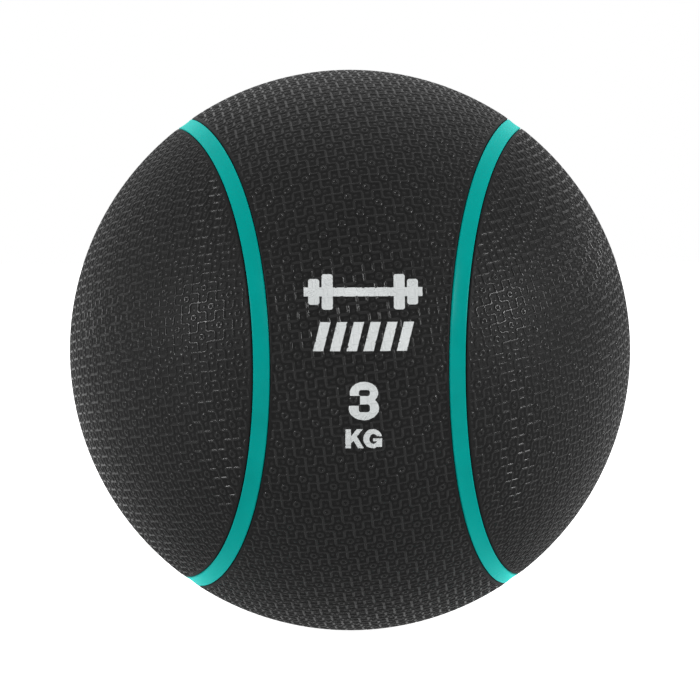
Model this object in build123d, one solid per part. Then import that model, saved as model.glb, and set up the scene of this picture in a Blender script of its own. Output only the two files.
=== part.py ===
from build123d import *
import math
import os

# A 3 kg rubber medicine ball, in millimetres. The origin is the ball's centre and +Z is up.
# The two side panels face -X and +X, the printed front faces -Y and the valve is at the rear, +Y.

# Layers of the wall, from the outside in.
BALL_RADIUS = 115.0
COVER_THICKNESS = 4.0
BALLAST_THICKNESS = 11.9
WINDING_THICKNESS = 1.0
BLADDER_THICKNESS = 1.5

COVER_INNER = BALL_RADIUS - COVER_THICKNESS
BALLAST_INNER = COVER_INNER - BALLAST_THICKNESS
WINDING_INNER = BALLAST_INNER - WINDING_THICKNESS
BLADDER_INNER = WINDING_INNER - BLADDER_THICKNESS

# The stripe's centre line is an oval round the X axis. Its angle from the side pole, in degrees,
# is MEAN + SWING * cos(2a) + SQUARENESS * cos(4a), where a is the turn round X from the front.
OVAL_MEAN = 64.0
OVAL_SWING = 9.3
OVAL_SQUARENESS = -0.75
OVAL_ARCS = 8
POINTS_PER_ARC = 4
TOOL_START = 30.0
TOOL_END = 132.0
TANGENT_STEP = 0.0001

# The coloured stripe lies in a channel that has a narrow groove along each top edge.
STRIPE_WIDTH = 6.0
STRIPE_DEPTH = 2.4
STRIPE_RECESS = 0.1
GROOVE_WIDTH = 0.4
GROOVE_DEPTH = 0.8
TOOL_MARGIN = 2.0

# Valve at the rear: a boot bonded into the wall and a plug that pulls out of it.
BOOT_RADIUS = 7.0
BOOT_PAD_RADIUS = 17.0
BOOT_PAD_THICKNESS = 1.6
BOOT_TOP_RECESS = 0.7
BOOT_LENGTH = 26.0
PLUG_RADIUS = 3.0
PLUG_HEAD_RADIUS = 4.8
PLUG_HEAD_THICKNESS = 1.2
PLUG_LENGTH = 24.0
PLUG_TIP_CHAMFER = 0.6
PLUG_CLEARANCE = 0.05
HEAD_SEAT_GAP = 0.02
NEEDLE_HOLE_RADIUS = 1.1
NEEDLE_HOLE_DEPTH = 17.0
NEEDLE_FUNNEL_RADIUS = 2.1
NEEDLE_FUNNEL_DEPTH = 1.0

BOOT_TOP = BALL_RADIUS - BOOT_TOP_RECESS
HEAD_SEAT = BOOT_TOP - PLUG_HEAD_THICKNESS - HEAD_SEAT_GAP

# Ink printed on the front of the centre band. Heights are of the print's lower edge above the centre.
INK_THICKNESS = 0.12
PRINT_OFFSET_X = 1.3

EMBLEM_WIDTH = 41.6
EMBLEM_HEIGHT = 12.3
EMBLEM_BASE = 20.5
EMBLEM_BAR_HEIGHT = 3.1
EMBLEM_PLATE_WIDTH = 3.9
EMBLEM_PLATE_GAP = 0.8
EMBLEM_SMALL_PLATE_HEIGHT = 8.9
EMBLEM_CORNER = 0.9

SLASH_COUNT = 6
SLASH_ROW_WIDTH = 35.4
SLASH_HEIGHT = 10.1
SLASH_BASE = 6.1
SLASH_WIDTH = 3.6
SLASH_LEAN = 2.6

# The numeral is two oval bowls, less a counter in each and a mouth on the left.
NUMERAL_BASE = -18.1
NUMERAL_HEIGHT = 13.5
LOWER_BOWL_WIDTH = 10.6
LOWER_BOWL_HEIGHT = 8.4
UPPER_BOWL_WIDTH = 9.9
UPPER_BOWL_HEIGHT = 7.9
COUNTER_LEFT = -1.8
COUNTER_WIDTH = 3.9
LOWER_COUNTER_BASE = 2.8
LOWER_COUNTER_HEIGHT = 2.8
UPPER_COUNTER_BASE = 8.5
UPPER_COUNTER_HEIGHT = 2.15
COUNTER_CORNER = 0.9
MOUTH_BASE = 5.1
MOUTH_HEIGHT = 3.5
MIDDLE_BAR_LEFT = -1.35

# The unit's two letters stand side by side.
LETTER_BASE = -28.2
LETTER_HEIGHT = 6.85
LETTER_PAIR_WIDTH = 12.9

K_WIDTH = 6.5
K_STEM_WIDTH = 1.95
K_ARM_WIDTH = 2.05
K_ARM_BASE = 1.85
K_ARM_LEAN = 4.0
K_LEG_HEIGHT = 4.25

G_WIDTH = 6.6
G_COUNTER_LEFT = 2.1
G_COUNTER_BASE = 1.6
G_COUNTER_WIDTH = 2.95
G_COUNTER_HEIGHT = 3.5
G_BAR_BASE = 2.45
G_BAR_HEIGHT = 1.1
G_BAR_LENGTH = 3.15
G_MOUTH_HEIGHT = 0.75
G_MOUTH_LENGTH = 2.7
G_SPUR_WIDTH = 1.6
G_SPUR_BASE = 0.4


def save(shape, name):
    """Write one piece to its own file."""
    shape.label = name
    export_step(shape, f"parts/{name}.step")


def shell(inner, outer):
    """Hollow sphere about the origin."""
    return Sphere(outer) - Sphere(inner)


def degrees_on_ball(length):
    """Angle that a length along the ball's surface covers."""
    return math.degrees(length / BALL_RADIUS)


def oval_point(side, widen, distance, turn):
    """Point of the stripe's oval where the cone through it meets a plane square to X."""
    angle = OVAL_MEAN + OVAL_SWING * math.cos(2 * turn) + OVAL_SQUARENESS * math.cos(4 * turn)
    radius = distance * math.tan(math.radians(angle + widen))
    return Vector(side * distance, -radius * math.cos(turn), radius * math.sin(turn))


def oval_wire(side, widen, distance):
    """Closed oval on a plane square to X, made of smoothly joined arcs."""
    arcs = []
    step = math.tau / (OVAL_ARCS * POINTS_PER_ARC)
    for arc in range(OVAL_ARCS):
        turns = [(arc * POINTS_PER_ARC + point) * step for point in range(POINTS_PER_ARC + 1)]
        points = [oval_point(side, widen, distance, turn) for turn in turns]
        tangents = []
        for turn in (turns[0], turns[-1]):
            ahead = oval_point(side, widen, distance, turn + TANGENT_STEP)
            behind = oval_point(side, widen, distance, turn - TANGENT_STEP)
            tangents.append((ahead - behind).normalized())
        arcs.append(Edge.make_spline(points, tangents=tangents))
    return Wire(arcs)


def oval_cone(side, widen):
    """Radial cone through the stripe's oval, its angle from the side pole widened by some degrees."""
    ends = [oval_wire(side, widen, distance) for distance in (TOOL_START, TOOL_END)]
    return Solid.make_loft(ends, ruled=True)


def oval_ring(side, width, inner, outer):
    """Band of the given width along the stripe's oval, between two radii."""
    half = degrees_on_ball(width) / 2
    return (shell(inner, outer) & oval_cone(side, half)) - oval_cone(side, -half)


def stripe_channel(side):
    """Space cut out of the cover for a stripe and the grooves beside it."""
    top = BALL_RADIUS + TOOL_MARGIN
    seat = oval_ring(side, STRIPE_WIDTH, BALL_RADIUS - STRIPE_DEPTH, top)
    grooves = oval_ring(side, STRIPE_WIDTH + 2 * GROOVE_WIDTH, BALL_RADIUS - GROOVE_DEPTH, top)
    return seat + grooves


def stripe(side):
    """Coloured rubber inlay that fills the channel."""
    return oval_ring(side, STRIPE_WIDTH, BALL_RADIUS - STRIPE_DEPTH, BALL_RADIUS - STRIPE_RECESS)


def half_space(direction):
    """Block that holds everything on one side of the front-to-rear parting plane."""
    size = 2 * BALL_RADIUS + 2 * TOOL_MARGIN
    return Pos(0, direction * size / 2, 0) * Box(size, size, size)


def rear_cylinder(radius, start, end):
    """Cylinder about the valve's axis between two distances from the ball's centre."""
    middle = (start + end) / 2
    return Pos(0, middle, 0) * Rot(90, 0, 0) * Cylinder(radius, end - start)


def wall_hole():
    """Hole that the valve boot passes through."""
    return rear_cylinder(BOOT_RADIUS, 0, BALL_RADIUS + TOOL_MARGIN)


def cover_pieces():
    """Side panels, the two halves of the centre band, and the stripes."""
    cover = shell(COVER_INNER, BALL_RADIUS)
    band = cover
    pieces = {}
    for name, side in (("left", -1), ("right", 1)):
        inside = oval_cone(side, 0)
        channel = stripe_channel(side)
        pieces[f"side_panel_{name}"] = (cover & inside) - channel
        pieces[f"stripe_{name}"] = stripe(side)
        band = band - inside - channel
    pieces["band_panel_front"] = band & half_space(-1)
    pieces["band_panel_rear"] = (band & half_space(1)) - wall_hole()
    return pieces


def wall_pieces():
    """Weighted shell in two halves, thread winding and bladder."""
    ballast = shell(BALLAST_INNER, COVER_INNER)
    return {
        "ballast_shell_front": ballast & half_space(-1),
        "ballast_shell_rear": (ballast & half_space(1)) - wall_hole(),
        "winding": shell(WINDING_INNER, BALLAST_INNER) - wall_hole(),
        "bladder": shell(BLADDER_INNER, WINDING_INNER) - wall_hole(),
    }


def valve_boot():
    """Rubber sleeve through the wall, with a pad bonded to the inside of the bladder."""
    pad = shell(BLADDER_INNER - BOOT_PAD_THICKNESS, BLADDER_INNER)
    pad = pad & rear_cylinder(BOOT_PAD_RADIUS, 0, BALL_RADIUS)
    sleeve = rear_cylinder(BOOT_RADIUS, BOOT_TOP - BOOT_LENGTH, BOOT_TOP)
    bore = rear_cylinder(PLUG_RADIUS + PLUG_CLEARANCE, 0, BALL_RADIUS)
    seat_radius = PLUG_HEAD_RADIUS + PLUG_CLEARANCE
    head_seat = rear_cylinder(seat_radius, HEAD_SEAT, BALL_RADIUS)
    return pad + sleeve - bore - head_seat


def valve_plug():
    """Self-sealing plug with a blind hole that a pump needle enters."""
    head_bottom = HEAD_SEAT + HEAD_SEAT_GAP
    tip = BOOT_TOP - PLUG_LENGTH
    head = rear_cylinder(PLUG_HEAD_RADIUS, head_bottom, BOOT_TOP)
    stem = rear_cylinder(PLUG_RADIUS, tip, head_bottom)
    stem = chamfer(stem.edges().group_by(Axis.Y)[0], PLUG_TIP_CHAMFER)
    hole = rear_cylinder(NEEDLE_HOLE_RADIUS, BOOT_TOP - NEEDLE_HOLE_DEPTH, BOOT_TOP)
    funnel = Cone(NEEDLE_FUNNEL_RADIUS, NEEDLE_HOLE_RADIUS, NEEDLE_FUNNEL_DEPTH)
    funnel = Pos(0, BOOT_TOP - NEEDLE_FUNNEL_DEPTH / 2, 0) * Rot(90, 0, 0) * funnel
    return head + stem - hole - funnel


def rounded_bar(left, bottom, width, height, corner):
    """Flat rounded rectangle given by its lower left corner."""
    return Pos(left + width / 2, bottom + height / 2) * RectangleRounded(width, height, corner)


def plain_bar(left, bottom, width, height):
    """Flat rectangle given by its lower left corner."""
    return Pos(left + width / 2, bottom + height / 2) * Rectangle(width, height)


def oval_disc(left, bottom, width, height):
    """Flat ellipse given by the lower left corner of the box round it."""
    return Pos(left + width / 2, bottom + height / 2) * Ellipse(width / 2, height / 2)


def leaning_bar(left, bottom, width, height, lean):
    """Flat parallelogram with level ends, its top moved sideways by the lean."""
    top = bottom + height
    corners = [(left, bottom), (left + width, bottom), (left + width + lean, top), (left + lean, top)]
    return make_face(Polyline(*corners, close=True))


def emblem():
    """Dumbbell seen from the side: a bar, two large plates and two small ones."""
    half = EMBLEM_WIDTH / 2
    small_base = (EMBLEM_HEIGHT - EMBLEM_SMALL_PLATE_HEIGHT) / 2
    bar_base = (EMBLEM_HEIGHT - EMBLEM_BAR_HEIGHT) / 2
    drawing = plain_bar(-half, bar_base, EMBLEM_WIDTH, EMBLEM_BAR_HEIGHT)
    small_left = EMBLEM_BAR_HEIGHT / 2
    large_left = small_left + EMBLEM_PLATE_WIDTH + EMBLEM_PLATE_GAP
    plates = ((small_left, small_base, EMBLEM_SMALL_PLATE_HEIGHT), (large_left, 0, EMBLEM_HEIGHT))
    for inset, base, height in plates:
        for left in (inset - half, half - inset - EMBLEM_PLATE_WIDTH):
            drawing += rounded_bar(left, base, EMBLEM_PLATE_WIDTH, height, EMBLEM_CORNER)
    return drawing


def numeral_three():
    """Heavy numeral made of two bowls, with a counter in each and a mouth on the left."""
    lower_left = -LOWER_BOWL_WIDTH / 2
    upper_left = -UPPER_BOWL_WIDTH / 2
    drawing = oval_disc(lower_left, 0, LOWER_BOWL_WIDTH, LOWER_BOWL_HEIGHT)
    drawing += oval_disc(upper_left, NUMERAL_HEIGHT - UPPER_BOWL_HEIGHT, UPPER_BOWL_WIDTH, UPPER_BOWL_HEIGHT)
    counters = ((LOWER_COUNTER_BASE, LOWER_COUNTER_HEIGHT), (UPPER_COUNTER_BASE, UPPER_COUNTER_HEIGHT))
    for base, height in counters:
        drawing -= rounded_bar(COUNTER_LEFT, base, COUNTER_WIDTH, height, COUNTER_CORNER)
    drawing -= plain_bar(lower_left, MOUTH_BASE, MIDDLE_BAR_LEFT - lower_left, MOUTH_HEIGHT)
    return drawing


def letter_k():
    """Stem and two slanting arms."""
    left = -LETTER_PAIR_WIDTH / 2
    foot = left + K_WIDTH - K_ARM_WIDTH
    drawing = plain_bar(left, 0, K_STEM_WIDTH, LETTER_HEIGHT)
    drawing += leaning_bar(left, K_ARM_BASE, K_ARM_WIDTH, LETTER_HEIGHT - K_ARM_BASE, K_ARM_LEAN)
    drawing += leaning_bar(foot, 0, K_ARM_WIDTH, K_LEG_HEIGHT, left + K_STEM_WIDTH - foot)
    return drawing


def letter_g():
    """Ring with a mouth on the right, a cross bar and a spur."""
    right = LETTER_PAIR_WIDTH / 2
    left = right - G_WIDTH
    bar_top = G_BAR_BASE + G_BAR_HEIGHT
    drawing = oval_disc(left, 0, G_WIDTH, LETTER_HEIGHT)
    drawing -= oval_disc(left + G_COUNTER_LEFT, G_COUNTER_BASE, G_COUNTER_WIDTH, G_COUNTER_HEIGHT)
    drawing -= plain_bar(right - G_MOUTH_LENGTH, bar_top, G_MOUTH_LENGTH, G_MOUTH_HEIGHT)
    drawing += plain_bar(right - G_BAR_LENGTH, G_BAR_BASE, G_BAR_LENGTH, G_BAR_HEIGHT)
    drawing += plain_bar(right - G_SPUR_WIDTH, G_SPUR_BASE, G_SPUR_WIDTH, bar_top - G_SPUR_BASE)
    return drawing


def printed(drawing, base):
    """Thin ink layer where a flat drawing is projected backwards onto the front of the ball."""
    front = Plane((PRINT_OFFSET_X, 0, base), x_dir=(1, 0, 0), z_dir=(0, -1, 0))
    column = extrude(front * drawing, BALL_RADIUS + TOOL_MARGIN)
    return column & shell(BALL_RADIUS, BALL_RADIUS + INK_THICKNESS)


def slash(index):
    """One of the evenly spaced leaning bars."""
    pitch = (SLASH_ROW_WIDTH - SLASH_WIDTH - SLASH_LEAN) / (SLASH_COUNT - 1)
    left = index * pitch - SLASH_ROW_WIDTH / 2
    return leaning_bar(left, 0, SLASH_WIDTH, SLASH_HEIGHT, SLASH_LEAN)


def print_pieces():
    """Emblem, row of leaning bars, and the weight marking."""
    pieces = {
        "print_emblem": printed(emblem(), EMBLEM_BASE),
        "print_numeral_3": printed(numeral_three(), NUMERAL_BASE),
        "print_letter_k": printed(letter_k(), LETTER_BASE),
        "print_letter_g": printed(letter_g(), LETTER_BASE),
    }
    for index in range(SLASH_COUNT):
        pieces[f"print_slash_{index + 1}"] = printed(slash(index), SLASH_BASE)
    return pieces


def build():
    """Make every piece of the ball."""
    os.makedirs("parts", exist_ok=True)
    pieces = cover_pieces() | wall_pieces() | print_pieces()
    pieces["valve_boot"] = valve_boot()
    pieces["valve_plug"] = valve_plug()
    for name, shape in pieces.items():
        save(shape, name)
        print(f"{name}: {shape.volume:.1f} mm3, {len(shape.solids())} solid")


build()
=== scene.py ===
import math

import bpy
import numpy as np
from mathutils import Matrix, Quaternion, Vector
from mathutils.geometry import delaunay_2d_cdt


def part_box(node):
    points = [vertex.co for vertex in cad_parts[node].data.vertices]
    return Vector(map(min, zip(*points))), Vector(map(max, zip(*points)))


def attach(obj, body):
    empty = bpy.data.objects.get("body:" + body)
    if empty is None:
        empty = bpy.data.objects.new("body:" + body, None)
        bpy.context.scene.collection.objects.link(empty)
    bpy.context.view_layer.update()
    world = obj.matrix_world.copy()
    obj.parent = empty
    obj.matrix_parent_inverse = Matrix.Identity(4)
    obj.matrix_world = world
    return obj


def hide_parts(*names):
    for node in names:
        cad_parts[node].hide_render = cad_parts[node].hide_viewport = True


# Lengths in this script are metres and match the CAD frame: origin at the ball's centre, +Z up,
# printed front facing -Y, side panels at -X and +X, valve at +Y.

MM = 0.001

# The stripe's centre line is an oval round the X axis: its angle from the side pole, in degrees,
# is MEAN + SWING * cos(2a) + SQUARENESS * cos(4a), where a is the turn round X from the front.
OVAL_MEAN = 64.0
OVAL_SWING = 9.3
OVAL_SQUARENESS = -0.75

# A stripe lies between two grooves. Its top is dished, and drops at its edges.
STRIPE_WIDTH = 6.0 * MM
STRIPE_DEPTH = 2.4 * MM
STRIPE_RECESS = 0.05 * MM
STRIPE_DISH = 0.25 * MM
STRIPE_EDGE = 0.2 * MM
STRIPE_EDGE_START = 0.9
STRIPE_TOP_POINTS = 25
STRIPE_STEPS = 1440
GROOVE_WIDTH = 0.4 * MM
GROOVE_DEPTH = 0.8 * MM

# The cover's back stops 0.2 mm short of the ballast shells under it.
COVER_THICKNESS = 3.8 * MM
VALVE_HOLE_RADIUS = 7.0 * MM

# Raised pattern: square cells tiled by crosses of five. Each cross has a ring in its middle cell,
# a dome in each arm, and a flat-topped ridge round its outline. Sizes are in cells.
RELIEF = 0.30 * MM
CORNER_RADIUS = 0.26
RIDGE_HALF = 0.055
RIDGE_SLOPE = 0.115
NODE_RADIUS = 0.16
RING_RADIUS = 0.27
RING_HALF = 0.06
RING_SLOPE = 0.09
DOME_SHIFT = 0.21
DOME_RADIUS = 0.22
DOME_HEIGHT = 0.65
DOME_FULLNESS = 0.8

# The pattern fades out towards a panel's edge, where the cover is plain and its rim is rounded.
BORDER_LEVEL = -0.10 * MM
BORDER_START = 0.5 * MM
BORDER_END = 1.8 * MM
RIM_ROUND = 0.35 * MM

# How the pattern lies on the band, which it wraps round the X axis, and on the side panels, where
# it is turned and then shifted by SIDE_ORIGIN cells. With a SIDE_TAPER of 0 its columns would draw
# together upwards and downwards like meridians, and with 1 they would keep their width.
BAND_WRAP_CELLS = (23, 204)
BAND_HALF_WIDTH = 84 * MM
BAND_PIECES = 12
SIDE_CELL = 3.57 * MM
SIDE_TURN = {-1: math.radians(6.6), 1: math.radians(10.3)}
SIDE_ORIGIN = {-1: (-0.68, -0.98), 1: (-0.20, -0.89)}
SIDE_TAPER = 0.35
SIDE_HALF_WIDTH = 154 * MM
SIDE_HEIGHT = 240 * MM
SIDE_PIECES = 8

# The cover's mesh: grid lines in each cell, where the pattern bends, and the steps, in cells, for
# slopes and normals. Points nearer the panel's edge than ON_EDGE are moved onto it. Its back is a
# coarse grid, in cells, that starts BACK_MARGIN inside the edge.
LINES_PER_CELL = (-0.5, -0.41, -0.33, -0.24, -0.12, 0.0, 0.12, 0.24, 0.33, 0.41)
LINE_TOLERANCE = 1e-6
SLOPE_STEP = 0.01
NORMAL_STEP = 0.02
EDGE_ROUNDS = 4
ON_EDGE = 0.02 * MM
LEDGE_DROP = 0.02 * MM
BACK_SPACING = 2.0
BACK_MARGIN = 3 * MM
BACK_OVERHANG = 1.02
BACK_CLOSENESS = 1e-6

INK_LIFT = 0.08 * MM
INK_WELD = 0.001 * MM
INK_CLOSENESS = 1e-5

# Colours, from the darkest to the lightest that each material shows.
TEAL = ((0.0, 0.222, 0.198, 1), (0.0, 0.252, 0.226, 1))
CHALK_WHITE = ((0.52, 0.54, 0.54, 1), (0.60, 0.62, 0.62, 1))
CREAM = ((0.62, 0.58, 0.46, 1), (0.78, 0.75, 0.64, 1))

# Noise that varies tone and roughness is read between NOISE_LOW and NOISE_HIGH.
TONE_SCALE = 60.0
WEAR_SCALE = 150.0
NOISE_ROUGHNESS = 0.6
NOISE_DETAIL = 4.0
NOISE_LOW = 0.3
NOISE_HIGH = 0.7
GRAIN_DETAIL = 6.0
GRAIN_DEPTH = 0.1 * MM

# Recesses are coloured darker than crests: painted shade, with some dust, where the pattern dips.
# Crests are also a little smoother and shinier. Roughness and shine change between the raised heights
# RECESS_TOP and CREST_FOOT.
# colour factor for the recesses: painted shade, with some dust
RECESS_PAINTED_SHADE = 0.35
RECESS_ROUGHER = 0.35
RECESS_SHINE = 0.88
CREST_SHINE = 1.22
RECESS_TOP = 0.1
CREST_FOOT = 0.6

VIEW_AZIMUTH = -1.75
VIEW_ELEVATION = 3.25
VIEW_ROLL = -0.18
CAMERA_DISTANCE = 0.69
CAMERA_LENS = 85.28
CAMERA_REACH = 200

# The studio is a white tent, brighter above and behind. The floor glows white to the camera, and glows
# onto the ball as a painted pool of light, strongest under the ball's foot and dimmer the farther it is
# from there.
TENT_DARKEST = 0.0
TENT_BRIGHTEST = 0.93
TENT_BRIGHT_SIDE = (0.0, 0.3, 0.954)
GLOW_UNDER_BALL = 0.40
GLOW_AROUND_BALL = 0.11
GLOW_RADIUS = 0.13
FLOOR_HALF_SIZE = 30.0
FLOOR_GREY = 0.8
FLOOR_ROUGHNESS = 0.9

# Azimuth from the front and elevation in degrees; distance, width and height in metres; watts.
LIGHTS = {
    "key_left": (-60, 13, 1.4, 0.20, 0.30, 7.5),
    "key_right": (60, 15, 1.4, 0.20, 0.30, 8.8),
    "top": (180, 80, 1.6, 1.6, 1.6, 1.7),
}


# ---------------------------------------------------------------- frame and sizes

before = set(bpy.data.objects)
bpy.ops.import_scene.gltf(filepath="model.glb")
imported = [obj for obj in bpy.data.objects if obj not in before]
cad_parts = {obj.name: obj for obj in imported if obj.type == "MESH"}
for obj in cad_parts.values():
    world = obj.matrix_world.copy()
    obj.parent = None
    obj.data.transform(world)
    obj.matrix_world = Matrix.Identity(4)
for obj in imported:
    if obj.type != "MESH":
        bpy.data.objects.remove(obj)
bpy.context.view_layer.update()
band_low, band_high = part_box("band_panel_front")
RADIUS = (band_high.z - band_low.z) / 2


# ---------------------------------------------------------------- shapes on the ball

def smoothstep(value, low, high):
    """0 below low, 1 above high, and a smooth climb between."""
    t = np.clip((value - low) / (high - low), 0.0, 1.0)
    return t * t * (3 - 2 * t)


def oval_angle(turn):
    """Angle from the side pole to the stripe's centre line, and its slope, both in radians."""
    angle = OVAL_MEAN + OVAL_SWING * np.cos(2 * turn) + OVAL_SQUARENESS * np.cos(4 * turn)
    slope = -2 * OVAL_SWING * np.sin(2 * turn) - 4 * OVAL_SQUARENESS * np.sin(4 * turn)
    return np.radians(angle), np.radians(slope)


def distance_to_oval(points, side):
    """Signed distance along the surface from a stripe's centre line, positive away from its pole."""
    polar = np.arccos(np.clip(points[:, 0] * side, -1, 1))
    turn = np.arctan2(points[:, 2], -points[:, 1])
    angle, slope = oval_angle(turn)
    return RADIUS * (polar - angle) / np.sqrt(1 + (slope / np.sin(angle)) ** 2)


def band_inside(points):
    """Distance inside the centre band's edges, with the valve's hole as one more edge."""
    channel = STRIPE_WIDTH / 2 + GROOVE_WIDTH
    inside = np.minimum(distance_to_oval(points, 1), distance_to_oval(points, -1)) - channel
    valve = RADIUS * np.arccos(np.clip(points[:, 1], -1, 1)) - VALVE_HOLE_RADIUS
    return np.minimum(inside, valve)


def side_inside(side):
    """Function that gives the distance inside a side panel's edge."""
    channel = STRIPE_WIDTH / 2 + GROOVE_WIDTH
    return lambda points: -distance_to_oval(points, side) - channel


def band_point(u, v):
    """Unit vector at arc length u towards +X and v round the X axis from the front."""
    lift, turn = u / RADIUS, v / RADIUS
    return np.stack([np.sin(lift), -np.cos(lift) * np.cos(turn), np.cos(lift) * np.sin(turn)], 1)


def side_point(side):
    """Function that gives the unit vector at arc length u across and v up from a side's centre."""
    def point(u, v):
        rise = v / RADIUS
        turn = u / RADIUS / (1 - SIDE_TAPER + SIDE_TAPER * np.cos(rise))
        level = side * np.cos(rise)
        return np.stack([level * np.cos(turn), level * np.sin(turn), np.sin(rise)], 1)
    return point


# ---------------------------------------------------------------- raised pattern

# For each kind of cell (0 the ring's, then the right, bottom, top and left arms): which sides join
# it to its own cross (right, left, top, bottom), and, for its corners (bottom left, bottom right,
# top left, top right), where the ridge's bend is centred from the corner; zeros where four ridges
# meet. TOWARD_RING is the step from an arm's cell to its ring, and far off for the ring's own cell,
# which has no dome.
JOINED = np.array([[1, 1, 1, 1], [0, 1, 0, 0], [0, 0, 1, 0], [0, 0, 0, 1], [1, 0, 0, 0]], bool)
BEND = np.array([
    [[-1, -1], [1, -1], [-1, 1], [1, 1]],
    [[1, -1], [0, 0], [1, 1], [-1, -1]],
    [[0, 0], [-1, 1], [-1, -1], [1, -1]],
    [[-1, 1], [1, 1], [1, -1], [0, 0]],
    [[1, 1], [-1, -1], [0, 0], [-1, 1]],
])
TOWARD_RING = np.array([[9, 9], [-1, 0], [0, 1], [0, -1], [1, 0]])


def pattern(x, y):
    """Height of the raised pattern, 0 to 1, at cell coordinates."""
    column, row = np.round(x), np.round(y)
    fx, fy = x - column, y - row
    # along a row the five kinds follow in turn, and each row up is three kinds further on
    kind = np.mod(column + 3 * row, 5).astype(int)

    gaps = np.stack([0.5 - fx, 0.5 + fx, 0.5 - fy, 0.5 + fy])
    to_ridge = np.where(JOINED[kind].T, 1.0, gaps).min(0)
    corner_x, corner_y = np.where(fx > 0, 0.5, -0.5), np.where(fy > 0, 0.5, -0.5)
    bend = BEND[kind, (fx > 0) + 2 * (fy > 0)]
    dx = fx - corner_x - CORNER_RADIUS * bend[:, 0]
    dy = fy - corner_y - CORNER_RADIUS * bend[:, 1]
    in_bend = (dx * bend[:, 0] < 0) & (dy * bend[:, 1] < 0)
    to_ridge = np.where(in_bend, np.abs(np.hypot(dx, dy) - CORNER_RADIUS), to_ridge)
    ridge = 1 - smoothstep(to_ridge, RIDGE_HALF, RIDGE_HALF + RIDGE_SLOPE)

    meets = (bend == 0).all(1)
    to_node = np.where(meets, np.hypot(fx - corner_x, fy - corner_y), 1.0)
    node = 1 - smoothstep(to_node, NODE_RADIUS / 2, NODE_RADIUS)

    ring_gap = np.abs(np.hypot(fx, fy) - RING_RADIUS)
    ring = np.where(kind == 0, 1 - smoothstep(ring_gap, RING_HALF, RING_HALF + RING_SLOPE), 0.0)

    toward = TOWARD_RING[kind] * DOME_SHIFT
    dome_gap = np.hypot(fx - toward[:, 0], fy - toward[:, 1]) / DOME_RADIUS
    dome = DOME_HEIGHT * np.clip(1 - dome_gap ** 2, 0, 1) ** DOME_FULLNESS
    return np.maximum.reduce([ridge, node, ring, dome])


class Surface:
    """A patterned area of the cover: how cell coordinates map to the ball, and where it ends."""

    def __init__(self, point, inside, cell, turn, origin=(0.0, 0.0)):
        self.point, self.inside, self.cell, self.origin = point, inside, cell, origin
        self.cos, self.sin = math.cos(turn), math.sin(turn)

    def plane(self, x, y):
        """Arc lengths at cell coordinates."""
        x, y = x + self.origin[0], y + self.origin[1]
        return self.cell * (self.cos * x - self.sin * y), self.cell * (self.sin * x + self.cos * y)

    def cells(self, u, v):
        """Cell coordinates at arc lengths."""
        x, y = (self.cos * u + self.sin * v) / self.cell, (self.cos * v - self.sin * u) / self.cell
        return x - self.origin[0], y - self.origin[1]

    def direction(self, x, y):
        return self.point(*self.plane(x, y))

    def edge_distance(self, x, y):
        return self.inside(self.direction(x, y))

    def position(self, x, y, lift=0.0):
        """Points on the patterned skin, and how much of the pattern shows at each."""
        direction = self.direction(x, y)
        distance = self.inside(direction)
        share = smoothstep(distance, BORDER_START, BORDER_END)
        raised = pattern(x, y)
        height = share * (raised - 1) * RELIEF + (1 - share) * BORDER_LEVEL
        rim = np.clip(RIM_ROUND - distance, 0, RIM_ROUND)
        height = height - rim ** 2 / (2 * RIM_ROUND)
        return direction * (RADIUS + height + lift)[:, None], share * raised

    def normal(self, x, y):
        right = self.position(x + NORMAL_STEP, y)[0] - self.position(x - NORMAL_STEP, y)[0]
        up = self.position(x, y + NORMAL_STEP)[0] - self.position(x, y - NORMAL_STEP)[0]
        normal = np.cross(right, up)
        return normal / np.linalg.norm(normal, axis=1)[:, None]

    def slope(self, x, y):
        """Gradient of the edge distance in cell coordinates."""
        step = SLOPE_STEP
        along_x = (self.edge_distance(x + step, y) - self.edge_distance(x - step, y)) / (2 * step)
        along_y = (self.edge_distance(x, y + step) - self.edge_distance(x, y - step)) / (2 * step)
        return along_x, along_y

    def onto_edge(self, x, y, target):
        """Moves points straight to where the edge distance has the target value."""
        for _ in range(EDGE_ROUNDS):
            miss = self.edge_distance(x, y) - target
            slope_x, slope_y = self.slope(x, y)
            size = slope_x ** 2 + slope_y ** 2
            x, y = x - miss * slope_x / size, y - miss * slope_y / size
        return x, y


def sample_lines(low, high):
    """Grid lines that follow the pattern's edges from low to high, both whole cells less a half."""
    cells = range(math.floor(low + 0.5), math.ceil(high + 0.5) + 1)
    lines = np.array([cell + part for cell in cells for part in LINES_PER_CELL])
    return lines[(lines >= low - LINE_TOLERANCE) & (lines <= high + LINE_TOLERANCE)]


# ---------------------------------------------------------------- mesh helpers

def make_object(name, vertices, faces):
    """Smooth mesh object that rides on the ball; faces are arrays with a row for each face."""
    mesh = bpy.data.meshes.new(name)
    corners = np.concatenate([part.ravel() for part in faces]).astype(np.int32)
    sizes = np.concatenate([np.full(len(part), part.shape[1]) for part in faces])
    starts = np.cumsum(sizes) - sizes
    mesh.vertices.add(len(vertices))
    mesh.vertices.foreach_set("co", vertices.astype(np.float32).ravel())
    mesh.loops.add(len(corners))
    mesh.loops.foreach_set("vertex_index", corners)
    mesh.polygons.add(len(sizes))
    mesh.polygons.foreach_set("loop_start", starts.astype(np.int32))
    mesh.polygons.foreach_set("use_smooth", np.ones(len(sizes), bool))
    mesh.update(calc_edges=True)
    obj = bpy.data.objects.new(name, mesh)
    bpy.context.scene.collection.objects.link(obj)
    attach(obj, "ball")
    return obj


def set_normals(obj, normals):
    """Gives an object's first points their exact normals, and leaves the rest to the mesh."""
    full = np.zeros((len(obj.data.vertices), 3), np.float32)
    full[:len(normals)] = normals
    obj.data.normals_split_custom_set_from_vertices(full)


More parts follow.
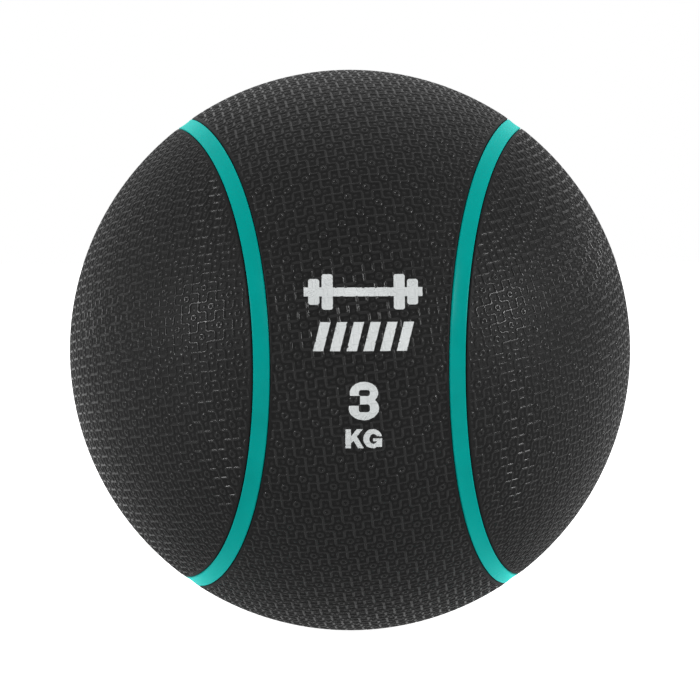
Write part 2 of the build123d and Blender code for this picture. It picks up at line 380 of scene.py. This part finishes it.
def boundary_edges(faces):
    """Directed edges that only one face uses."""
    edges = np.stack([faces, np.roll(faces, -1, axis=1)], -1).reshape(-1, 2)
    edges = edges[edges[:, 0] != edges[:, 1]]
    ends = np.sort(edges, 1).astype(np.int64)
    key = ends[:, 0] * (ends.max() + 1) + ends[:, 1]
    _, first, count = np.unique(key, return_index=True, return_counts=True)
    return edges[first[count == 1]]


def renumbered(faces):
    """Indices that the faces use, and the faces with those indices counted from zero."""
    used, counted = np.unique(faces, return_inverse=True)
    return used, counted.reshape(faces.shape)


def triangulated(x, y, edges, closeness):
    """Triangles inside the given edges, through all the points; points closer than closeness merge.

    The solver works in single precision, so a point that it was given takes its place from there.
    """
    inside_edges = 1
    points = [Vector((float(a), float(b))) for a, b in zip(x, y)]
    pairs = [(int(a), int(b)) for a, b in edges]
    result = delaunay_2d_cdt(points, pairs, [], inside_edges, closeness)
    solved, _, faces, sources = result[:4]
    new_x = [x[source[0]] if source else point.x for point, source in zip(solved, sources)]
    new_y = [y[source[0]] if source else point.y for point, source in zip(solved, sources)]
    return np.array(new_x), np.array(new_y), np.array([list(face) for face in faces])


def turned(x, y, tris, sense):
    """Triangles with all their corners in one order: sense 1 for anticlockwise, -1 for clockwise."""
    a, b, c = tris.T
    turn = (x[b] - x[a]) * (y[c] - y[a]) - (x[c] - x[a]) * (y[b] - y[a])
    return np.where((turn * sense < 0)[:, None], tris[:, ::-1], tris)


def inside_loops(x, y, edge_x, edge_y):
    """Even-odd test of points against closed loops given as edges."""
    inside = np.zeros(len(x), bool)
    for (x0, x1), (y0, y1) in zip(edge_x, edge_y):
        crosses = (y0 > y) != (y1 > y)
        with np.errstate(divide="ignore", invalid="ignore"):
            at = x0 + (y - y0) / (y1 - y0) * (x1 - x0)
        inside ^= crosses & (x < at)
    return inside


# ---------------------------------------------------------------- materials

def node_material(name):
    material = bpy.data.materials.new(name)
    material.use_nodes = True
    tree = material.node_tree
    return material, tree, tree.nodes["Principled BSDF"]


def noise(tree, scale, detail=NOISE_DETAIL):
    place = tree.nodes.new("ShaderNodeTexCoord")
    texture = tree.nodes.new("ShaderNodeTexNoise")
    texture.inputs["Scale"].default_value = scale
    texture.inputs["Detail"].default_value = detail
    texture.inputs["Roughness"].default_value = NOISE_ROUGHNESS
    tree.links.new(place.outputs["Object"], texture.inputs["Vector"])
    return texture.outputs["Fac"]


def ramp(tree, source, start, start_colour, end, end_colour):
    node = tree.nodes.new("ShaderNodeValToRGB")
    first, last = node.color_ramp.elements
    first.position, first.color = start, start_colour
    last.position, last.color = end, end_colour
    tree.links.new(source, node.inputs["Fac"])
    return node.outputs["Color"]


def span(tree, source, low, high, from_low=0.0, from_high=1.0):
    """Maps from_low..from_high to low..high, and clamps."""
    node = tree.nodes.new("ShaderNodeMapRange")
    node.inputs["From Min"].default_value = from_low
    node.inputs["From Max"].default_value = from_high
    node.inputs["To Min"].default_value = low
    node.inputs["To Max"].default_value = high
    tree.links.new(source, node.inputs["Value"])
    return node.outputs["Result"]


def bump(tree, shader, height, strength):
    node = tree.nodes.new("ShaderNodeBump")
    node.inputs["Strength"].default_value = strength
    node.inputs["Distance"].default_value = GRAIN_DEPTH
    tree.links.new(height, node.inputs["Height"])
    tree.links.new(node.outputs["Normal"], shader.inputs["Normal"])


def multiplied(tree, first, second):
    """Product of two colours."""
    node = tree.nodes.new("ShaderNodeMix")
    node.data_type, node.blend_type = "RGBA", "MULTIPLY"
    node.inputs["Factor"].default_value = 1.0
    sockets = [socket for socket in node.inputs if socket.type == "RGBA"]
    tree.links.new(first, sockets[0])
    tree.links.new(second, sockets[1])
    return [socket for socket in node.outputs if socket.type == "RGBA"][0]


def combined(tree, first, second):
    """Sum of two values."""
    node = tree.nodes.new("ShaderNodeMath")
    node.operation = "ADD"
    tree.links.new(first, node.inputs[0])
    tree.links.new(second, node.inputs[1])
    return node.outputs[0]


def white_to_camera(tree, value, target):
    """Feeds a value to the target socket, except where the camera looks straight at it: there, 1."""
    path = tree.nodes.new("ShaderNodeLightPath")
    mix = tree.nodes.new("ShaderNodeMix")
    mix.inputs["B"].default_value = 1.0
    tree.links.new(path.outputs["Is Camera Ray"], mix.inputs["Factor"])
    tree.links.new(value, mix.inputs["A"])
    tree.links.new(mix.outputs["Result"], target)


def grey(level):
    return (level, level, level, 1.0)


def rubber(name, colours, roughness, grain, specular=0.5, shaded_and_worn=False, sheen=0.0):
    """Rubber, ink or thread: darkest and lightest colour, least and most rough, and its grain as
    noise scale and strength. A shaded and worn one follows the raised pattern: its recesses get painted
    shade, and its crests are smoother and shinier."""
    material, tree, shader = node_material(name)
    dark, light = colours
    colour = ramp(tree, noise(tree, TONE_SCALE), NOISE_LOW, dark, NOISE_HIGH, light)
    rough = span(tree, noise(tree, WEAR_SCALE), *roughness, NOISE_LOW, NOISE_HIGH)
    shader.inputs["Specular IOR Level"].default_value = specular
    if shaded_and_worn:
        attribute = tree.nodes.new("ShaderNodeAttribute")
        attribute.attribute_name = "raised"
        raised = attribute.outputs["Fac"]
        # painted shade: the colour grows darker from crest to recess along the raised pattern
        shade = ramp(tree, raised, 0.0, grey(RECESS_PAINTED_SHADE), 1.0, grey(1.0))
        colour = multiplied(tree, colour, shade)
        rougher = span(tree, raised, RECESS_ROUGHER, 0.0, RECESS_TOP, CREST_FOOT)
        rough = combined(tree, rough, rougher)
        least, most = RECESS_SHINE * specular, CREST_SHINE * specular
        shine = span(tree, raised, least, most, RECESS_TOP, CREST_FOOT)
        tree.links.new(shine, shader.inputs["Specular IOR Level"])
    shader.inputs["Sheen Weight"].default_value = sheen
    shader.inputs["Sheen Tint"].default_value = [part / max(light[:3]) for part in light[:3]] + [1.0]
    tree.links.new(colour, shader.inputs["Base Color"])
    tree.links.new(rough, shader.inputs["Roughness"])
    scale, strength = grain
    bump(tree, shader, noise(tree, scale, GRAIN_DETAIL), strength)
    return material


cover_rubber = rubber(
    "cover_rubber", (grey(0.0108), grey(0.0140)), (0.15, 0.21), (2500.0, 0.3), 0.185, shaded_and_worn=True)
stripe_rubber = rubber("stripe_rubber", TEAL, (0.2, 0.28), (1500.0, 0.1), 0.04, sheen=1.0)
white_ink = rubber("white_ink", CHALK_WHITE, (0.45, 0.6), (2500.0, 0.2), 0.2)
ballast_rubber = rubber("ballast_rubber", (grey(0.06), grey(0.1)), (0.6, 0.85), (800.0, 0.8), 0.3)
butyl_rubber = rubber("butyl_rubber", (grey(0.015), grey(0.03)), (0.25, 0.45), (900.0, 0.2))
boot_rubber = rubber("boot_rubber", (grey(0.02), grey(0.035)), (0.4, 0.55), (1800.0, 0.25))
plug_rubber = rubber("plug_rubber", (grey(0.05), grey(0.08)), (0.4, 0.6), (1800.0, 0.25))
nylon_thread = rubber("nylon_thread", CREAM, (0.55, 0.75), (1200.0, 0.8), 0.4)

CAD_FINISH = {
    "ballast_shell_front": ballast_rubber,
    "ballast_shell_rear": ballast_rubber,
    "winding": nylon_thread,
    "bladder": butyl_rubber,
    "valve_boot": boot_rubber,
    "valve_plug": plug_rubber,
}
for node, material in CAD_FINISH.items():
    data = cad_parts[node].data
    data.materials.clear()
    data.materials.append(material)


# ---------------------------------------------------------------- cover

def skin_grid(surface, xs, ys):
    """Quads that reach inside the surface's edge, their points, and which of those are moved to it."""
    grid_x, grid_y = np.meshgrid(xs, ys)
    index = np.arange(grid_x.size).reshape(grid_x.shape)
    grid_x, grid_y = grid_x.ravel(), grid_y.ravel()
    distance = surface.edge_distance(grid_x, grid_y)
    corners = [index[:-1, :-1], index[:-1, 1:], index[1:, 1:], index[1:, :-1]]
    quads = np.stack(corners, -1).reshape(-1, 4)
    used, quads = renumbered(quads[(distance[quads] > ON_EDGE).any(1)])
    x, y = grid_x[used], grid_y[used]
    at_edge = distance[used] < ON_EDGE
    x[at_edge], y[at_edge] = surface.onto_edge(x[at_edge], y[at_edge], 0.0)
    return quads, x, y, at_edge


def smooth_back(surface, xs, ys, rim_x, rim_y, rim):
    """Points and triangles between the walls' lower edge and a coarse grid."""
    columns = np.arange(xs[0] + 1, xs[-1], BACK_SPACING)
    rows = np.arange(ys[0] + 1, ys[-1], BACK_SPACING)
    grid_x, grid_y = [grid.ravel() for grid in np.meshgrid(columns, rows)]
    deep = surface.edge_distance(grid_x, grid_y) > BACK_MARGIN
    all_x = np.concatenate([rim_x, grid_x[deep]])
    all_y = np.concatenate([rim_y, grid_y[deep]])
    x, y, tris = triangulated(all_x, all_y, rim, BACK_CLOSENESS)
    middle = surface.edge_distance(x[tris].mean(1), y[tris].mean(1))
    tris = tris[middle > -GROOVE_WIDTH * BACK_OVERHANG]
    return x, y, turned(x, y, tris, -1)


def cover_piece(name, surface, x_range, y_range, node):
    """One tile of a cover panel: patterned skin, walls at its edges and a smooth back."""
    xs, ys = sample_lines(*x_range), sample_lines(*y_range)
    quads, x, y, at_edge = skin_grid(surface, xs, ys)
    skin, raised = surface.position(x, y)

    # under a panel's own edge the wall steps out, below the groove, to the stripe's channel
    rim_points, rim = renumbered(boundary_edges(quads))
    rim_x, rim_y, steps_out = x[rim_points], y[rim_points], at_edge[rim_points]
    low_x, low_y = rim_x.copy(), rim_y.copy()
    low_x[steps_out], low_y[steps_out] = surface.onto_edge(
        rim_x[steps_out], rim_y[steps_out], -GROOVE_WIDTH)
    above, below = surface.direction(rim_x, rim_y), surface.direction(low_x, low_y)
    rows = [
        skin[rim_points],
        above * (RADIUS - GROOVE_DEPTH),
        below * (RADIUS - GROOVE_DEPTH - LEDGE_DROP),
        below * (RADIUS - COVER_THICKNESS),
    ]
    walls = []
    for level in range(len(rows) - 1):
        a, b = rim.T + len(skin) + level * len(rim_points)
        walls.append(np.stack([b, a, a + len(rim_points), b + len(rim_points)], 1))

    back_x, back_y, tris = smooth_back(surface, xs, ys, low_x, low_y, rim)
    back = surface.direction(back_x, back_y) * (RADIUS - COVER_THICKNESS)
    vertices = np.concatenate([skin, *rows, back])
    obj = make_object(name, vertices, [quads, *walls, tris + len(vertices) - len(back)])
    set_normals(obj, surface.normal(x, y))
    value = np.zeros(len(vertices), np.float32)
    value[:len(skin)] = raised
    attribute = obj.data.attributes.new("raised", "FLOAT", "POINT")
    attribute.data.foreach_set("value", value)
    obj.data.materials.append(cover_rubber)
    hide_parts(node)


def band_surface():
    wrap = math.hypot(*BAND_WRAP_CELLS)
    turn = math.atan2(BAND_WRAP_CELLS[0], BAND_WRAP_CELLS[1])
    return Surface(band_point, band_inside, math.tau * RADIUS / wrap, turn)


def build_band(surface):
    """The band's tiles, in order round the X axis: the front ones from the bottom up, then the rear."""
    rows = BAND_WRAP_CELLS[1] // BAND_PIECES
    first = -BAND_WRAP_CELLS[1] // 4
    places = ["front"] * (BAND_PIECES // 2) + ["rear"] * (BAND_PIECES // 2)
    half_width = BAND_HALF_WIDTH / surface.cell
    for number, place in enumerate(places):
        low = first + number * rows - 0.5
        middle_v = (low + rows / 2) / BAND_WRAP_CELLS[1] * math.tau * RADIUS
        middle = surface.cells(0.0, middle_v)[0]
        sides = (math.floor(middle - half_width) - 0.5, math.ceil(middle + half_width) + 0.5)
        name = f"cover_band_{place}_{number % (BAND_PIECES // 2) + 1}"
        cover_piece(name, surface, sides, (low, low + rows), f"band_panel_{place}")


def build_side(side, name):
    """A side panel's tiles, from the bottom up."""
    surface = Surface(
        side_point(side), side_inside(side), SIDE_CELL, SIDE_TURN[side], SIDE_ORIGIN[side])
    reach = math.ceil(SIDE_HALF_WIDTH / SIDE_CELL) + 0.5
    rows = math.ceil(SIDE_HEIGHT / SIDE_CELL / SIDE_PIECES)
    first = -rows * SIDE_PIECES // 2
    for number in range(SIDE_PIECES):
        low = first + number * rows - 0.5
        cover_piece(
            f"cover_side_{name}_{number + 1}", surface, (-reach, reach), (low, low + rows),
            f"side_panel_{name}")


# ---------------------------------------------------------------- stripes

def stripe_profile():
    """Cross-section as (distance across, height over the nominal radius)."""
    half = STRIPE_WIDTH / 2
    top = []
    for across in np.linspace(-1, 1, STRIPE_TOP_POINTS):
        dish = STRIPE_DISH * (1 - across ** 2)
        past = max(0.0, (abs(across) - STRIPE_EDGE_START) / (1 - STRIPE_EDGE_START))
        top.append((across * half, -STRIPE_RECESS - dish - STRIPE_EDGE * past ** 2))
    return top + [(half, -STRIPE_DEPTH), (-half, -STRIPE_DEPTH)]


def build_stripe(side, name):
    """A closed loop of the stripe's cross-section along its oval."""
    profile = stripe_profile()
    turn = np.arange(STRIPE_STEPS) * math.tau / STRIPE_STEPS
    angle, slope = oval_angle(turn)
    stretch = np.sqrt(1 + (slope / np.sin(angle)) ** 2)
    here = np.arange(STRIPE_STEPS)
    following = (here + 1) % STRIPE_STEPS
    lines, faces = [], []
    for number, (across, height) in enumerate(profile):
        polar = angle + across / RADIUS * stretch
        out, up = -np.sin(polar) * np.cos(turn), np.sin(polar) * np.sin(turn)
        lines.append(np.stack([side * np.cos(polar), out, up], 1) * (RADIUS + height))
        a, b = number * STRIPE_STEPS, (number + 1) % len(profile) * STRIPE_STEPS
        quad = np.stack([a + here, b + here, b + following, a + following], 1)
        faces.append(quad if side < 0 else quad[:, ::-1])
    obj = make_object(f"stripe_inlay_{name}", np.concatenate(lines), faces)
    obj.data.materials.append(stripe_rubber)
    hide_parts(f"stripe_{name}")


# ---------------------------------------------------------------- print

def outline(node):
    """Points of a printed node, and the edges round its front face."""
    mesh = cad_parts[node].data
    points = np.array([vertex.co for vertex in mesh.vertices])
    _, index, welded = np.unique(
        np.round(points / INK_WELD), axis=0, return_index=True, return_inverse=True)
    points, welded = points[index], welded.ravel()
    radius = np.linalg.norm(points, axis=1)
    outer = radius > (radius.min() + radius.max()) / 2
    faces = np.array([[welded[corner] for corner in face.vertices] for face in mesh.polygons])
    return points, boundary_edges(faces[outer[faces].all(1)])


def build_print(node, surface):
    """Ink film that follows the raised pattern inside a printed node's outline."""
    points, edges = outline(node)
    used, edges = renumbered(edges)
    unit = points[used] / np.linalg.norm(points[used], axis=1)[:, None]
    turn = np.arctan2(unit[:, 2], -unit[:, 1])
    x, y = surface.cells(RADIUS * np.arcsin(unit[:, 0]), RADIUS * turn)
    columns = sample_lines(math.floor(x.min()) - 0.5, math.ceil(x.max()) + 0.5)
    rows = sample_lines(math.floor(y.min()) - 0.5, math.ceil(y.max()) + 0.5)
    grid_x, grid_y = [grid.ravel() for grid in np.meshgrid(columns, rows)]
    film_x, film_y, tris = triangulated(
        np.concatenate([x, grid_x]), np.concatenate([y, grid_y]), edges, INK_CLOSENESS)
    middle_x, middle_y = film_x[tris].mean(1), film_y[tris].mean(1)
    tris = tris[inside_loops(middle_x, middle_y, x[edges], y[edges])]
    tris = turned(film_x, film_y, tris, 1)

    used, tris = renumbered(tris)
    film_x, film_y = film_x[used], film_y[used]
    top = surface.position(film_x, film_y, INK_LIFT)[0]
    below = surface.position(film_x, film_y, -INK_LIFT)[0]
    count = len(top)
    a, b = boundary_edges(tris).T + count
    walls = np.stack([b, a, a + count, b + count], 1)
    faces = [tris, walls, tris[:, ::-1] + 2 * count]
    obj = make_object("ink_" + node.replace("print_", ""), np.concatenate([top, top, below]), faces)
    set_normals(obj, surface.normal(film_x, film_y))
    obj.data.materials.append(white_ink)
    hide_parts(node)


band = band_surface()
build_band(band)
for side, name in ((-1, "left"), (1, "right")):
    build_side(side, name)
    build_stripe(side, name)
for node in sorted(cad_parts):
    if node.startswith("print_"):
        build_print(node, band)


# ---------------------------------------------------------------- floor, light and camera

def build_floor():
    """Pale floor that glows: white to the camera, and dimmer away from the ball to everything else."""
    size, level = FLOOR_HALF_SIZE, -RADIUS
    corners = [(-size, -size, level), (size, -size, level), (size, size, level), (-size, size, level)]
    mesh = bpy.data.meshes.new("floor")
    mesh.from_pydata(corners, [], [(0, 1, 2, 3)])
    floor = bpy.data.objects.new("floor", mesh)
    bpy.context.scene.collection.objects.link(floor)
    material, tree, shader = node_material("pale_floor")
    shader.inputs["Base Color"].default_value = grey(FLOOR_GREY)
    shader.inputs["Roughness"].default_value = FLOOR_ROUGHNESS
    shader.inputs["Emission Color"].default_value = grey(1.0)
    place = tree.nodes.new("ShaderNodeTexCoord")
    flat = tree.nodes.new("ShaderNodeVectorMath")
    flat.operation = "MULTIPLY"
    flat.inputs[1].default_value = (1, 1, 0)
    tree.links.new(place.outputs["Object"], flat.inputs[0])
    length = tree.nodes.new("ShaderNodeVectorMath")
    length.operation = "LENGTH"
    tree.links.new(flat.outputs["Vector"], length.inputs[0])
    distance = length.outputs["Value"]
    # painted light: the floor's glow onto the ball is strongest under its foot
    glow = span(tree, distance, GLOW_UNDER_BALL, GLOW_AROUND_BALL, 0.0, GLOW_RADIUS)
    white_to_camera(tree, glow, shader.inputs["Emission Strength"])
    mesh.materials.append(material)


def direction_to_view(azimuth, elevation):
    """Unit vector from the ball towards a place given by azimuth from the front and elevation."""
    turn, rise = math.radians(azimuth), math.radians(elevation)
    level = math.cos(rise)
    return Vector((math.sin(turn) * level, -math.cos(turn) * level, math.sin(rise)))


def soft_light(name, azimuth, elevation, distance, width, height, power):
    """Rectangular light that faces the ball."""
    light = bpy.data.lights.new(name, "AREA")
    light.shape, light.size, light.size_y, light.energy = "RECTANGLE", width, height, power
    obj = bpy.data.objects.new(name, light)
    bpy.context.scene.collection.objects.link(obj)
    obj.location = direction_to_view(azimuth, elevation) * distance
    obj.rotation_euler = (-obj.location).to_track_quat("-Z", "Y").to_euler()


def build_tent():
    """White surroundings, whose light on the ball grows towards the bright side."""
    world = bpy.data.worlds.new("studio")
    world.use_nodes = True
    tree = world.node_tree
    background = tree.nodes["Background"]
    background.inputs["Color"].default_value = grey(1.0)
    place = tree.nodes.new("ShaderNodeTexCoord")
    dot = tree.nodes.new("ShaderNodeVectorMath")
    dot.operation = "DOT_PRODUCT"
    dot.inputs[1].default_value = TENT_BRIGHT_SIDE
    tree.links.new(place.outputs["Generated"], dot.inputs[0])
    lit = span(tree, dot.outputs["Value"], TENT_DARKEST, TENT_BRIGHTEST, -1.0, 1.0)
    white_to_camera(tree, lit, background.inputs["Strength"])
    bpy.context.scene.world = world
    bpy.context.scene.view_settings.view_transform = "Standard"


def build_camera():
    camera = bpy.data.objects.new("camera", bpy.data.cameras.new("camera"))
    bpy.context.scene.collection.objects.link(camera)
    camera.location = direction_to_view(VIEW_AZIMUTH, VIEW_ELEVATION) * CAMERA_DISTANCE
    look = (-camera.location).to_track_quat("-Z", "Y")
    camera.rotation_euler = (look @ Quaternion((0, 0, 1), math.radians(VIEW_ROLL))).to_euler()
    camera.data.lens = CAMERA_LENS
    camera.data.clip_end = CAMERA_REACH
    bpy.context.scene.camera = camera


build_floor()
for name, setting in LIGHTS.items():
    soft_light(name, *setting)
build_tent()
build_camera()
